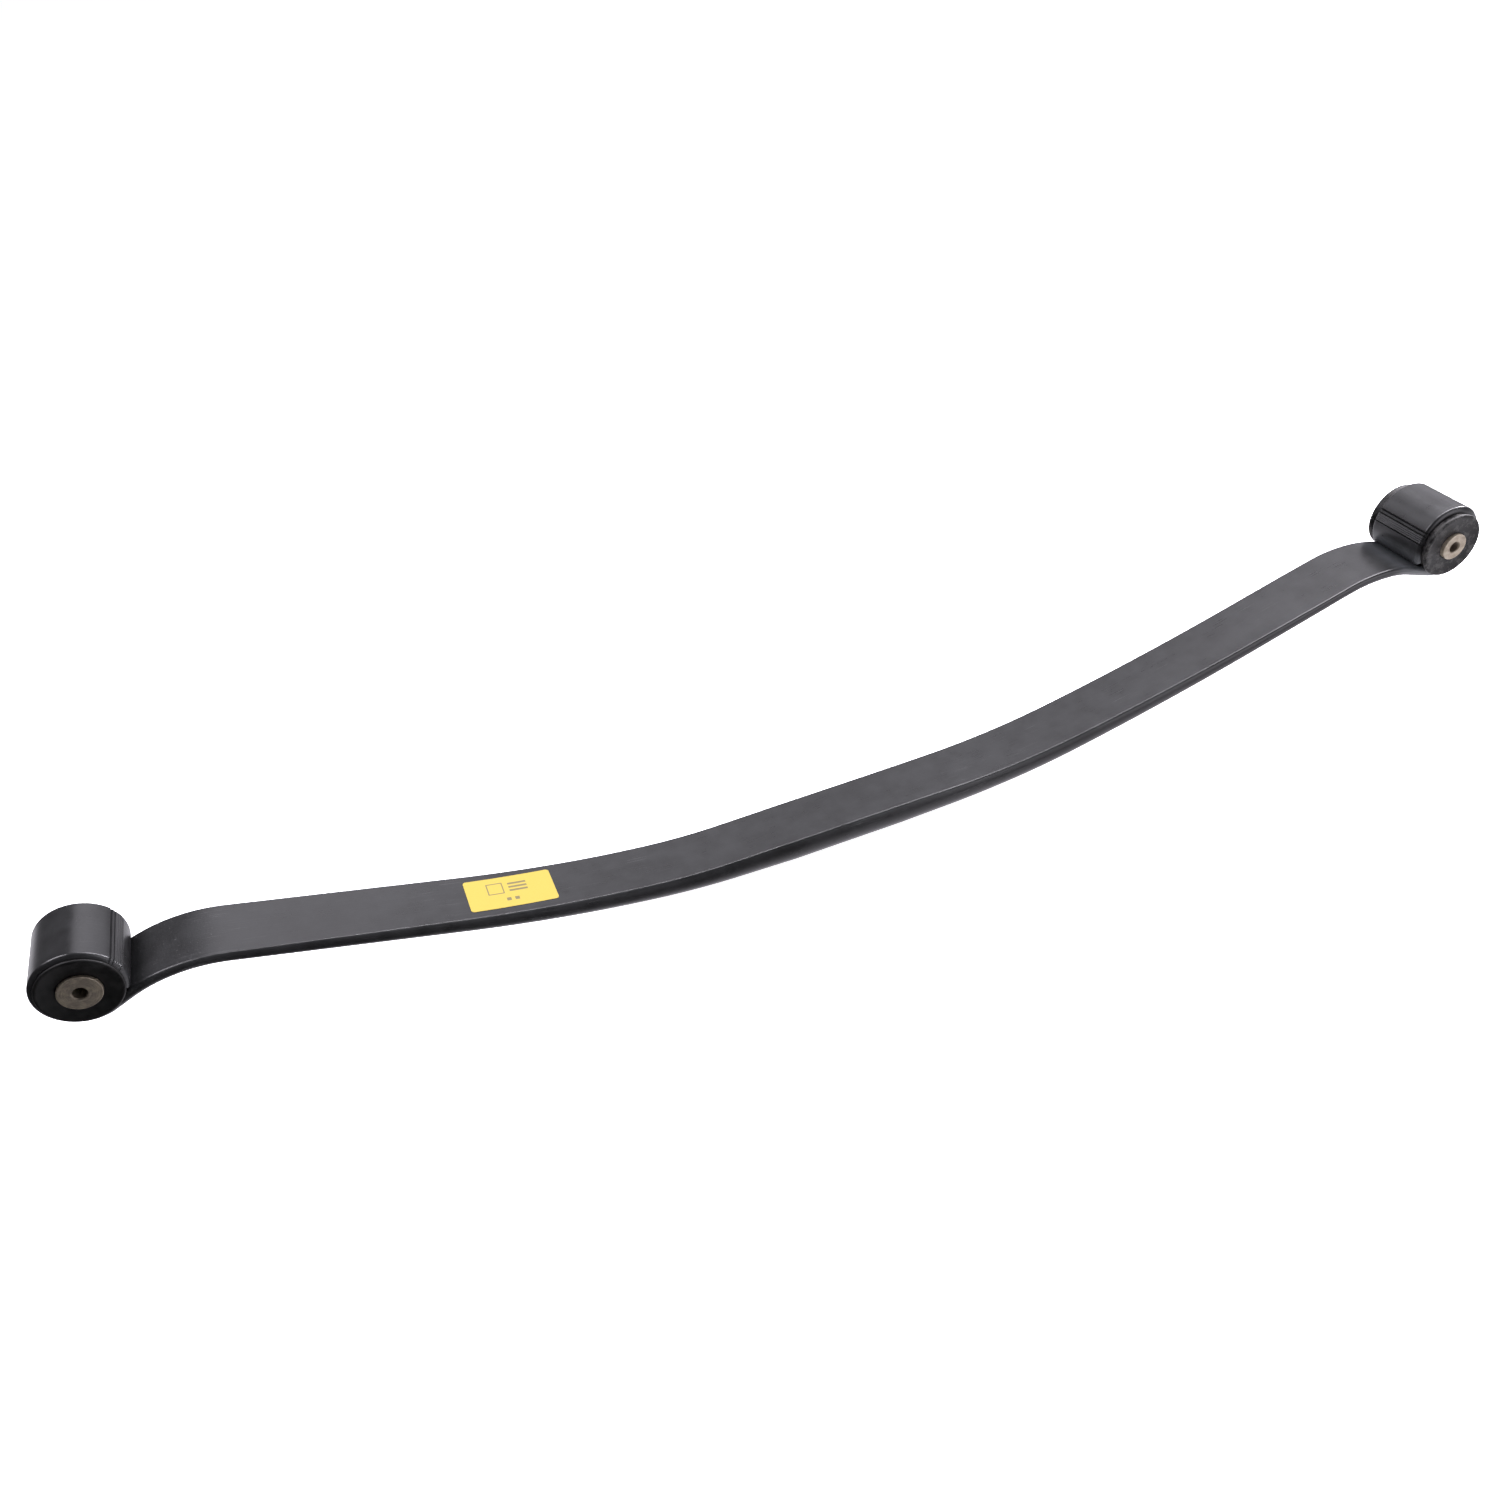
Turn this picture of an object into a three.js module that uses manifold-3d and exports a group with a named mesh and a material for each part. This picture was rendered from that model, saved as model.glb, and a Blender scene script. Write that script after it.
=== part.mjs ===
// A single-leaf vehicle spring: one tapered steel leaf rolled into an eye at each end,
// a rubber bush and a steel sleeve in each eye, and a label on the upper face.
// Millimetres. X runs along the spring (front eye at -X), Y along the eye axes, Z up.
// The origin is the middle of the flat underside that sits on the axle.
//
// A real leaf bends. Here it is cut into a rigid centre and two rigid arms, which turn on
// half-round knuckles a quarter of the way out from the clamped seat to each eye.

import * as THREE from "three";
import { mergeVertices } from "three/addons/utils/BufferGeometryUtils.js";
import Module from "manifold-3d";

const wasm = await Module();
wasm.setup();

const DEG = Math.PI / 180;

// ---- Leaf -------------------------------------------------------------------

const HALF_WIDTH = 35;
const SEAT_THICKNESS = 24;
const THINNEST = 10.2; // where the taper ends, beside each eye
const EDGE_BULGE = 0.33; // how far the rolled edges bow out, as a share of the thickness
const EDGE_STEPS = 8;
const SEAT_HALF = 60; // half the length the axle clamp holds
const SHOULDER = { at: 170, thickness: 20 }; // where the steep taper beside the seat ends
const TAPER_END = 600;
const SWELL_LENGTH = 45; // the leaf thickens again over this length before it rolls into the eye
const BORE_RADIUS = 29; // inside of each rolled eye
const WALL_THINS_FROM = 60; // angle round the eye where the wall starts to thin towards the tip
const TIP_MARK = 146.5; // angle where the trimmed end of the roll begins
const TIP_STEP = 0.8;

// The upper face of each arm, from the middle of the seat outwards: a flat, two upward
// curves, a straight, a hump that turns down under the bush, a straight, and the roll.
const FRONT_RUN = {
  flat: 119,
  rises: [{ radius: 628, angle: 7.5 }, { radius: 1380, angle: 8 }],
  straight: 208,
  hump: 136,
  dive: 23.3,
  tail: 16.5,
  tipAngle: 204,
  wall: { root: 10.8, tip: 10.2 },
};
const REAR_RUN = {
  flat: 118,
  rises: [{ radius: 857, angle: 10.4 }, { radius: 2862, angle: 4.6 }],
  straight: 113,
  hump: 160,
  dive: 15.6,
  tail: 31,
  tipAngle: 208,
  wall: { root: 13.2, tip: 10.6 },
};

// ---- Flexing knuckles ---------------------------------------------------------

const KNUCKLE_SHARE = 0.25; // from the clamp edge to the eye
const KNUCKLE_GAP = 0.3;
const DROOP_ROOM = 4 * DEG; // relief above the knuckle, for the arm to swing up
const BUMP_ROOM = 15 * DEG; // relief below it, for the arm to swing down

// ---- Bushes -------------------------------------------------------------------

const BOLT_RADIUS = 6.1;
const FIT_GAP = 0.2;
const HALVES_GAP = 0.3;
const FRONT_BUSH = { sleeveRadius: 18.1, sleeveHalf: 39.3, flangeRadius: 35.4, flangeFace: 37.2 };
const REAR_BUSH = { sleeveRadius: 14.9, sleeveHalf: 46, flangeRadius: 36.3, flangeFace: 43 };
const SLEEVE_CHAMFER = 0.8;
const ROUND_SEGMENTS = 72;

// ---- Label --------------------------------------------------------------------

const LABEL = {
  length: 85,
  width: 44,
  corner: 3,
  middle: 345, // distance from the middle of the seat, along the upper face
  offset: 0.8, // towards +Y
  turn: -1.3 * DEG,
  thickness: 0.2,
  lift: 0.05,
  steps: 24,
};

// ---- Materials ------------------------------------------------------------------

const paintedSteel = new THREE.MeshStandardMaterial({ color: 0x26272b, roughness: 0.45, metalness: 0.3 });
const bareSteel = new THREE.MeshStandardMaterial({ color: 0x9a9184, roughness: 0.5, metalness: 0.9 });
const blackRubber = new THREE.MeshStandardMaterial({ color: 0x151516, roughness: 0.85, metalness: 0 });
const yellowPaper = new THREE.MeshStandardMaterial({ color: 0xf4dc3c, roughness: 0.6, metalness: 0 });

// ---- The side view of an arm ------------------------------------------------------

function thicknessAt(distance) {
  if (distance <= SEAT_HALF) return SEAT_THICKNESS;
  if (distance <= SHOULDER.at) {
    const share = (distance - SEAT_HALF) / (SHOULDER.at - SEAT_HALF);
    return THREE.MathUtils.lerp(SEAT_THICKNESS, SHOULDER.thickness, share);
  }
  const share = Math.min(1, (distance - SHOULDER.at) / (TAPER_END - SHOULDER.at));
  return THREE.MathUtils.lerp(SHOULDER.thickness, THINNEST, share);
}

function wallAt(wall, angle) {
  const share = THREE.MathUtils.clamp((angle - WALL_THINS_FROM) / (TIP_MARK - WALL_THINS_FROM), 0, 1);
  return THREE.MathUtils.lerp(wall.root, wall.tip, share);
}

// Stations along the upper face: out from the seat, height, heading, thickness, and how far
// the edges bow out, which follows the taper and not the swelling beside the eye.
function runStations(run) {
  const stations = [];
  let out = 0;
  let height = SEAT_THICKNESS;
  let heading = 0;
  let distance = 0;
  const mark = (thickness = thicknessAt(distance)) => {
    const bulge = EDGE_BULGE * thicknessAt(distance);
    stations.push({ out, height, heading, distance, thickness, bulge });
  };
  const straight = (length, steps) => {
    for (let i = 0; i < steps; i += 1) {
      out += (length / steps) * Math.cos(heading);
      height += (length / steps) * Math.sin(heading);
      distance += length / steps;
      mark();
    }
  };
  const curve = (radius, angle, steps) => {
    const turn = (angle * DEG) / steps;
    const chord = 2 * radius * Math.sin(Math.abs(turn) / 2);
    for (let i = 0; i < steps; i += 1) {
      out += chord * Math.cos(heading + turn / 2);
      height += chord * Math.sin(heading + turn / 2);
      heading += turn;
      distance += chord;
      mark();
    }
  };
  mark();
  straight(SEAT_HALF, 1);
  straight(run.flat - SEAT_HALF, 2);
  run.rises.forEach((rise) => curve(rise.radius, rise.angle, 8));
  straight(run.straight, 6);
  const climb = run.rises.reduce((sum, rise) => sum + rise.angle, 0);
  curve(run.hump, -(climb + run.dive), 14);
  straight(run.tail, 2);
  stations.forEach((station) => {
    const share = THREE.MathUtils.clamp(1 - (distance - station.distance) / SWELL_LENGTH, 0, 1);
    station.thickness = THREE.MathUtils.lerp(station.thickness, run.wall.root, share);
  });

  const eye = { out: out - BORE_RADIUS * Math.sin(heading), height: height + BORE_RADIUS * Math.cos(heading) };
  const start = -90 - run.dive;
  const roll = (from, to, trim, steps) => {
    for (let i = 0; i <= steps; i += 1) {
      const turned = THREE.MathUtils.lerp(from, to, i / steps);
      const angle = turned * DEG;
      out = eye.out + BORE_RADIUS * Math.cos(angle);
      height = eye.height + BORE_RADIUS * Math.sin(angle);
      heading = angle + 90 * DEG;
      mark(wallAt(run.wall, turned) - trim);
    }
  };
  stations.pop();
  roll(start, TIP_MARK, 0, 56);
  roll(TIP_MARK + 0.5, run.tipAngle, TIP_STEP, 12);
  return { stations, eye };
}

// A point a given distance along the upper face, with the heading there.
function alongRun(stations, distance) {
  const next = stations.findIndex((station) => station.distance > distance);
  const a = stations[next - 1];
  const b = stations[next];
  const share = (distance - a.distance) / (b.distance - a.distance);
  const mix = (key) => THREE.MathUtils.lerp(a[key], b[key], share);
  return { out: mix("out"), height: mix("height"), heading: mix("heading"), thickness: mix("thickness") };
}

// ---- Solids -----------------------------------------------------------------------

// The bar's section: flat faces and bowed edges, as [across, below the upper face].
function barSection(thickness, bulge) {
  const radius = (bulge * bulge + thickness * thickness / 4) / (2 * bulge);
  const reach = Math.asin(thickness / 2 / radius);
  const edge = [];
  for (let i = 0; i <= EDGE_STEPS; i += 1) {
    const angle = THREE.MathUtils.lerp(reach, -reach, i / EDGE_STEPS);
    const across = HALF_WIDTH - radius + radius * Math.cos(angle);
    edge.push([across, -thickness / 2 + radius * Math.sin(angle)]);
  }
  const farSide = edge.map(([across, below]) => [-across, below]).reverse();
  return [...edge, ...farSide];
}

function solidFromRings(rings) {
  const count = rings[0].length;
  const positions = rings.flat(2);
  const index = [];
  for (let ring = 0; ring < rings.length - 1; ring += 1) {
    for (let i = 0; i < count; i += 1) {
      const j = (i + 1) % count;
      const a = ring * count + i;
      const b = ring * count + j;
      index.push(a, b, b + count, a, b + count, a + count);
    }
  }
  const last = (rings.length - 1) * count;
  for (let i = 1; i < count - 1; i += 1) {
    index.push(0, i + 1, i);
    index.push(last, last + i, last + i + 1);
  }
  const geometry = new THREE.BufferGeometry();
  geometry.setAttribute("position", new THREE.Float32BufferAttribute(positions, 3));
  geometry.setIndex(index);
  return facingOut(geometry);
}

function signedVolume(geometry) {
  const position = geometry.getAttribute("position");
  const index = geometry.getIndex();
  const corner = [0, 1, 2].map(() => new THREE.Vector3());
  let volume = 0;
  for (let i = 0; i < index.count; i += 3) {
    corner.forEach((point, k) => point.fromBufferAttribute(position, index.getX(i + k)));
    volume += corner[0].dot(corner[1].clone().cross(corner[2])) / 6;
  }
  return volume;
}

function facingOut(geometry) {
  if (signedVolume(geometry) < 0) {
    const index = Array.from(geometry.getIndex().array);
    for (let i = 0; i < index.length; i += 3) {
      [index[i + 1], index[i + 2]] = [index[i + 2], index[i + 1]];
    }
    geometry.setIndex(index);
  }
  return geometry;
}

function toManifold(geometry) {
  const bare = new THREE.BufferGeometry();
  bare.setAttribute("position", geometry.getAttribute("position").clone());
  if (geometry.getIndex()) bare.setIndex(geometry.getIndex().clone());
  const merged = mergeVertices(bare, 1e-4);
  return new wasm.Manifold(new wasm.Mesh({
    numProp: 3,
    vertProperties: new Float32Array(merged.getAttribute("position").array),
    triVerts: new Uint32Array(merged.getIndex().array),
  }));
}

function toGeometry(manifold) {
  const mesh = manifold.getMesh();
  const geometry = new THREE.BufferGeometry();
  geometry.setAttribute("position", new THREE.Float32BufferAttribute(mesh.vertProperties, 3));
  geometry.setIndex(new THREE.Uint32BufferAttribute(mesh.triVerts, 1));
  return geometry;
}

// One ring of points across the bar at a station. side is -1 for the front arm, 1 for the rear.
function stationRing(station, side) {
  return barSection(station.thickness, station.bulge).map(([across, below]) => {
    const out = station.out - below * Math.sin(station.heading);
    const height = station.height + below * Math.cos(station.heading);
    return [side * out, across, height];
  });
}

function wholeLeaf(front, rear) {
  const frontRings = front.stations.map((station) => stationRing(station, -1)).reverse();
  const rearRings = rear.stations.slice(1).map((station) => stationRing(station, 1));
  return toManifold(solidFromRings([...frontRings, ...rearRings]));
}

// Everything outboard of a knuckle, as seen from the side, drawn out across the spring.
function outboardOf(knuckle, radius, reliefAbove, reliefBelow, side) {
  const reach = 900;
  const tall = 400;
  const lipTop = Math.PI / 2 + reliefAbove;
  const lipBottom = (3 * Math.PI) / 2 - reliefBelow;
  const shape = new THREE.Shape();
  shape.moveTo(-Math.tan(reliefAbove) * tall, tall);
  shape.lineTo(radius * Math.cos(lipTop), radius * Math.sin(lipTop));
  shape.absarc(0, 0, radius, lipTop, lipBottom, false);
  shape.lineTo(-Math.tan(reliefBelow) * tall, -tall);
  shape.lineTo(reach, -tall);
  shape.lineTo(reach, tall);
  shape.closePath();
  const across = 2 * HALF_WIDTH + 20;
  const block = new THREE.ExtrudeGeometry(shape, { depth: across, bevelEnabled: false, curveSegments: 28 });
  block.translate(0, 0, -across / 2);
  block.rotateZ(knuckle.heading);
  block.translate(knuckle.out, knuckle.height, 0);
  // The drawing's x and y become the spring's X (outwards) and Z.
  block.applyMatrix4(new THREE.Matrix4().set(side, 0, 0, 0, 0, 0, -1, 0, 0, 1, 0, 0, 0, 0, 0, 1));
  return toManifold(facingOut(mergeVertices(stripped(block), 1e-4)));
}

function stripped(geometry) {
  const bare = new THREE.BufferGeometry();
  bare.setAttribute("position", geometry.getAttribute("position").clone());
  if (geometry.getIndex()) bare.setIndex(geometry.getIndex().clone());
  return bare;
}

// The knuckle's centre is on the middle of the bar, a share of the way from clamp to eye.
function knuckleOf(run) {
  const target = SEAT_HALF + KNUCKLE_SHARE * (run.eye.out - SEAT_HALF);
  const before = run.stations.findIndex((station) => station.out > target) - 1;
  const a = run.stations[before];
  const b = run.stations[before + 1];
  const share = (target - a.out) / (b.out - a.out);
  const point = alongRun(run.stations, THREE.MathUtils.lerp(a.distance, b.distance, share));
  const half = point.thickness / 2;
  return {
    out: point.out + half * Math.sin(point.heading),
    height: point.height - half * Math.cos(point.heading),
    heading: point.heading,
    radius: half,
  };
}

function turnedAboutY(profile) {
  const points = profile.map(([radius, along]) => new THREE.Vector2(radius, along));
  points.push(points[0].clone());
  const geometry = mergeVertices(stripped(new THREE.LatheGeometry(points, ROUND_SEGMENTS)), 1e-4);
  return facingOut(geometry);
}

function sleeveGeometry(bush) {
  const { sleeveRadius, sleeveHalf } = bush;
  const half = [
    [BOLT_RADIUS, sleeveHalf - SLEEVE_CHAMFER],
    [BOLT_RADIUS + SLEEVE_CHAMFER, sleeveHalf],
    [sleeveRadius - SLEEVE_CHAMFER, sleeveHalf],
    [sleeveRadius, sleeveHalf - SLEEVE_CHAMFER],
  ];
  const otherHalf = half.map(([radius, along]) => [radius, -along]).reverse();
  return turnedAboutY([...half, ...otherHalf]);
}

// Half a bush: a plug that fills the eye and an end flange that laps over the eye's edge.
function rubberGeometry(bush, side) {
  const bulge = EDGE_BULGE * THINNEST;
  const edgeRadius = (bulge * bulge + THINNEST * THINNEST / 4) / (2 * bulge);
  const edge = { radius: BORE_RADIUS + THINNEST / 2, along: HALF_WIDTH - edgeRadius };
  const lap = edgeRadius + FIT_GAP + 0.1;
  const profile = [
    [bush.sleeveRadius + FIT_GAP, HALVES_GAP / 2],
    [BORE_RADIUS - FIT_GAP, HALVES_GAP / 2],
    [BORE_RADIUS - FIT_GAP, edge.along + lap * Math.cos(62 * DEG)],
  ];
  for (let lean = -54; lean <= 0; lean += 18) {
    profile.push([edge.radius + lap * Math.sin(lean * DEG), edge.along + lap * Math.cos(lean * DEG)]);
  }
  const shoulder = Math.min(2.5, (bush.flangeFace - HALF_WIDTH) * 0.6);
  for (let turn = 0; turn <= 90; turn += 18) {
    profile.push([
      bush.flangeRadius - shoulder + shoulder * Math.cos(turn * DEG),
      bush.flangeFace - shoulder + shoulder * Math.sin(turn * DEG),
    ]);
  }
  profile.push([bush.sleeveRadius + FIT_GAP, bush.flangeFace]);
  return turnedAboutY(profile.map(([radius, along]) => [radius, side * along]));
}

// The label follows the upper face of the front arm.
function labelGeometry(run) {
  const rings = [];
  const { length, width, corner } = LABEL;
  const stops = [];
  for (let i = 0; i <= 4; i += 1) stops.push(corner * (1 - Math.cos((i / 4) * Math.PI / 2)));
  const inner = length - 2 * corner;
  for (let i = 1; i < LABEL.steps; i += 1) stops.push(corner + (inner * i) / LABEL.steps);
  for (let i = 4; i >= 0; i -= 1) stops.push(length - corner * (1 - Math.cos((i / 4) * Math.PI / 2)));
  stops.forEach((stop) => {
    const past = Math.max(0, corner - stop, stop - (length - corner));
    const half = width / 2 - corner + Math.sqrt(Math.max(corner * corner - past * past, 0.01));
    const ring = [];
    for (const [across, rise] of [[half, LABEL.thickness], [-half, LABEL.thickness], [-half, 0], [half, 0]]) {
      const along = stop - length / 2;
      const distance = LABEL.middle + along * Math.cos(LABEL.turn) - across * Math.sin(LABEL.turn);
      const point = alongRun(run.stations, distance);
      const lift = LABEL.lift + rise;
      const out = point.out - lift * Math.sin(point.heading);
      const height = point.height + lift * Math.cos(point.heading);
      const y = LABEL.offset + along * Math.sin(LABEL.turn) + across * Math.cos(LABEL.turn);
      ring.push([-out, y, height]);
    }
    rings.push(ring);
  });
  return solidFromRings(rings);
}

// ---- Assembly -------------------------------------------------------------------------

const spring = new THREE.Group();

function addNode(name, geometry, material, x = 0, z = 0) {
  const mesh = new THREE.Mesh(geometry, material);
  mesh.name = name;
  mesh.position.set(x, 0, z);
  spring.add(mesh);
}

const front = runStations(FRONT_RUN);
const rear = runStations(REAR_RUN);
const leaf = wholeLeaf(front, rear);

let centre = leaf;
for (const [name, run, side] of [["front_leaf_arm", front, -1], ["rear_leaf_arm", rear, 1]]) {
  const knuckle = knuckleOf(run);
  const arm = leaf.intersect(outboardOf(knuckle, knuckle.radius, 0, 0, side));
  centre = centre.subtract(
    outboardOf(knuckle, knuckle.radius + KNUCKLE_GAP, DROOP_ROOM, BUMP_ROOM, side),
  );
  addNode(name, toGeometry(arm), paintedSteel);
}
addNode("leaf_centre", toGeometry(centre), paintedSteel);

for (const [end, run, bush, side] of [["front", front, FRONT_BUSH, -1], ["rear", rear, REAR_BUSH, 1]]) {
  const x = side * run.eye.out;
  const z = run.eye.height;
  addNode(`${end}_eye_sleeve`, sleeveGeometry(bush), bareSteel, x, z);
  addNode(`${end}_eye_rubber_left`, rubberGeometry(bush, -1), blackRubber, x, z);
  addNode(`${end}_eye_rubber_right`, rubberGeometry(bush, 1), blackRubber, x, z);
}
addNode("label", labelGeometry(front), yellowPaper);

export default spring;
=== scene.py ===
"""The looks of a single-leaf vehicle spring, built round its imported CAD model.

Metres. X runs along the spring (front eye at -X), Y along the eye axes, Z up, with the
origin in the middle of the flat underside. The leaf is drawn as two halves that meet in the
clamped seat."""

import math
import bmesh
import bpy
from mathutils import Matrix, Vector


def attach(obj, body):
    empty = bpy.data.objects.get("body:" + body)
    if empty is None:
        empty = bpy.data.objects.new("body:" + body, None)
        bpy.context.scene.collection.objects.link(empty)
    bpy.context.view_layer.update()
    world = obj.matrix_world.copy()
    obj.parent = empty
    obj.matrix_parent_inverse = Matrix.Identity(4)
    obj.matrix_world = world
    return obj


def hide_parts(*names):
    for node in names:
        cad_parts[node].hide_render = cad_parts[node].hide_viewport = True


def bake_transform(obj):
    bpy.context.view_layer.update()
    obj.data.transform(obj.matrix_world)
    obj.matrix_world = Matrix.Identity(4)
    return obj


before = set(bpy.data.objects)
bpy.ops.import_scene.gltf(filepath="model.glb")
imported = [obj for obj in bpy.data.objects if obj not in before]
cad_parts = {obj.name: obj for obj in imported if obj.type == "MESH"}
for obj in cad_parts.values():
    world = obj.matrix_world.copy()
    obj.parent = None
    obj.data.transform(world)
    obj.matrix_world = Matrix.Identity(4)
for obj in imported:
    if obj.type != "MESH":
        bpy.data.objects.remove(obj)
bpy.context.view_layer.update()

MM = 0.001

# ---- Sizes, as in the CAD model -------------------------------------------------

HALF_WIDTH = 35 * MM
SEAT_THICKNESS = 24 * MM
THINNEST = 10.2 * MM  # where the taper ends, beside each eye
EDGE_BULGE = 0.33  # how far the rolled edges bow out, as a share of the thickness
SEAT_BULGE = 0.2  # the same share where the bar is clamped, and along the rear arm
SEAT_HALF = 60 * MM
SHOULDER_AT = 170 * MM
SHOULDER_THICKNESS = 20 * MM
TAPER_END = 600 * MM
SWELL_LENGTH = 45 * MM  # the leaf thickens again over this length before it rolls into the eye
BORE_RADIUS = 29 * MM
WALL_THINS_FROM = 60  # degrees round the eye where the wall starts to thin towards the tip

FRONT = {
    "name": "front",
    "side": -1,
    "flat": 119 * MM,
    "rises": [(628 * MM, 7.5), (1380 * MM, 8)],
    "straight": 208 * MM,
    "hump": 136 * MM,
    "dive": 23.3,
    "tail": 16.5 * MM,
    "tip_angle": 204,
    "wall": (10.8 * MM, 10.2 * MM),
    "bows_over": (60 * MM, 250 * MM),
    "sleeve_radius": 18.1 * MM,
    "sleeve_half": 39.3 * MM,
    "flange_radius": 35.4 * MM,
    "flange_face": 37.2 * MM,
}
REAR = {
    "name": "rear",
    "side": 1,
    "flat": 118 * MM,
    "rises": [(857 * MM, 10.4), (2862 * MM, 4.6)],
    "straight": 113 * MM,
    "hump": 160 * MM,
    "dive": 15.6,
    "tail": 31 * MM,
    "tip_angle": 208,
    "wall": (13.2 * MM, 10.6 * MM),
    "bows_over": (580 * MM, 680 * MM),
    "sleeve_radius": 14.9 * MM,
    "sleeve_half": 46 * MM,
    "flange_radius": 36.3 * MM,
    "flange_face": 43 * MM,
}
BOLT_RADIUS = 6.1 * MM
FIT_GAP = 0.2 * MM

# ---- Finer shape ------------------------------------------------------------------

PITCH = 4 * MM  # between stations along the leaf
CREASE_RADIUS = 2.6 * MM
EDGE_STEPS = 14
CREASE_STEPS = 6
SUPPORT = 0.5 * MM  # narrow strip beside each crease, which keeps the flats flat
TURN_SEGMENTS = 144

# Round each eye, the trimmed end of the roll: a step down with grooves across it, fine
# ridges, then a smooth land. Angles are in degrees from straight outwards.
STEP_ANGLE = 146.5
GROOVES = ((146.5, 149.5), (152.5, 155), (167, 169.5))
RIDGES_START = GROOVES[1][1]
RIDGES_END = GROOVES[2][1]
RIDGE_PITCH = 3
STEP_DEPTH = 0.45 * MM
GROOVE_DEPTH = 1.4 * MM  # below the surface round it, at the bottom of the vee
RIDGE_DEPTH = 0.2 * MM
LAND_DEPTH = 0.8 * MM
ROLL_STEP = 2  # degrees between stations round the roll
TIP_STEP = 0.25  # the same where the tip is cut and ridged
TIP_MARGIN = 1  # degrees before and after that stretch

# Half a bush. The plug stops short of the middle, the flange laps the eye's bowed rim, and
# the face has a rounded rim, a lip, a shallow dish and a trough round the sleeve.
PLUG_GAP = 0.15 * MM
LAP_ANGLES = range(-62, 6, 6)  # degrees round the rim's bow, from straight along the axis
RIM_ROUND = 2.4 * MM
RIM_ROUND_SHARE = 0.7  # the most it takes of the flange's thickness
RIM_START = -25  # degrees from straight outwards
RIM_STEPS = 12
LIP_WIDTH = 1.6 * MM
LIP_SLOPE = 1.2 * MM
DISH_DEPTH = 0.5 * MM
TROUGH_DEPTH = 0.9 * MM
TROUGH_RIM = 3.2 * MM  # from the bore
TROUGH_FLOOR = 1.4 * MM  # from the bore
BORE_CHAMFER = 0.4 * MM

# A sleeve's turned ends, with the tool's rings round each face.
SLEEVE_ROUND = 0.7 * MM
ROUND_STEPS = 6
BOLT_CHAMFER = 0.9 * MM
CHAMFER_SUPPORT = 1.6 * MM
ROUND_SUPPORT = 2 * MM
FACE_RINGS = 5
RING_HALF = 0.12 * MM
RING_DEPTH = 0.04 * MM

# Edges sharper than these angles, in degrees, are shaded as creases.
LEAF_CREASE = 24
RUBBER_CREASE = 40
SLEEVE_CREASE = 30
LABEL_CREASE = 35

# ---- Label ------------------------------------------------------------------------

LABEL_LENGTH = 85 * MM
LABEL_WIDTH = 44 * MM
LABEL_CORNER = 3 * MM
LABEL_MIDDLE = 345 * MM
LABEL_OFFSET = 0.8 * MM  # towards +Y
LABEL_TURN = math.radians(-1.3)
LABEL_LIFT = 0.05 * MM
LABEL_THICKNESS = 0.2 * MM
LABEL_COLUMNS = 60
LABEL_ROWS = 24

# Printed marks, in millimetres from the middle of the label.
SQUARE_AT = (-14, 6)
SQUARE_HALF = 8
SQUARE_LINE = 1.2
BARS = 3
BAR_AT = (8, 1)
BAR_PITCH = 5
BAR_HALF = (9, 1.3)
DOTS_X = (-4, 4)
DOTS_Y = -11
DOT_HALF = 2.2
PRINT_SOFTNESS = 0.25 * MM

# ---- Paint --------------------------------------------------------------------------

# Stretches of the painted leaf, by distance from its middle along the upper face, with
# the rear half positive: the folds, lightened by dustiness and by painted light, and the rougher paint
# of the front bend.
REAR_FOLD = 724 * MM
FOLD_HALF = 55 * MM
REAR_TIP = 893 * MM
TIP_HALF = 16 * MM
FRONT_ROUGH = -655 * MM
ROUGH_HALF = 60 * MM
FLECKS_ELSEWHERE = 0.12  # share of the front bend's flecks

# Grey levels, each with its warmth, and the range of the paint's roughness.
PAINT_DARK = (0.004, -0.04)
PAINT_LIGHT = (0.009, -0.05)
# dustiness with painted light, which lightens the rear eye's lower fold and the land at its tip
FOLD_DUST_AND_LIGHT = (0.05, -0.06)
FLECK = (0.12, 0.0)
SCUFF = (0.11, 0.0)
PAINT_ROUGHNESS = (0.225, 0.265)

# ---- Rubber and steel -------------------------------------------------------------------

# Clean grey of each rubber, the lighter grey where dustiness sets in, and the range of the noise over
# which it sets in.
# The rear's lighter grey is dustiness and painted light, for the glare that lights the rear bush.
RUBBERS = {
    "front": ((0.002, 0.0), (0.005, 0.1), 0.4, 0.7),
    "rear": ((0.002, 0.0), (0.034, 0.04), 0.47, 0.57),
}

# Light and dark colour of each sleeve. The rear sleeve's colours are lighter as painted light, for the
# glare on the rear bush.
STEELS = {
    "front": ((0.15, 0.128, 0.095, 1), (0.10, 0.086, 0.066, 1)),
    "rear": ((0.31, 0.265, 0.205, 1), (0.22, 0.185, 0.14, 1)),
}

FILM = ((0.35, 0.265, 0.028, 1), (0.38, 0.29, 0.038, 1))
INK = (0.10, 0.085, 0.04, 1)

# ---- Studio ---------------------------------------------------------------------------

# Brightness, as gloss sees it, of the room behind and before the spring, and of the ground
# from its dark near side to its bright far side.
COOL = (1.03, 1.0, 1.08, 1)  # the tint of all the light
ROOM = 0.2
ROOM_BEFORE = 0.1
GROUND_DARK = 0.02
GROUND_BRIGHT = 1.25
GROUND_SLANT = 1.3  # how far the ground brightens towards +X for each step towards +Y

# A window behind the spring, whose panes are (left, right, brightness).
WINDOW_AT = 1.25
WINDOW_SILL = 0.3
WINDOW_HEIGHT = 1.9
WINDOW_PANES = ((-0.66, 0.1, 1.95), (0.1, 0.95, 1.05), (0.95, 1.6, 1.6), (1.6, 2.85, 1.0))

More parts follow.
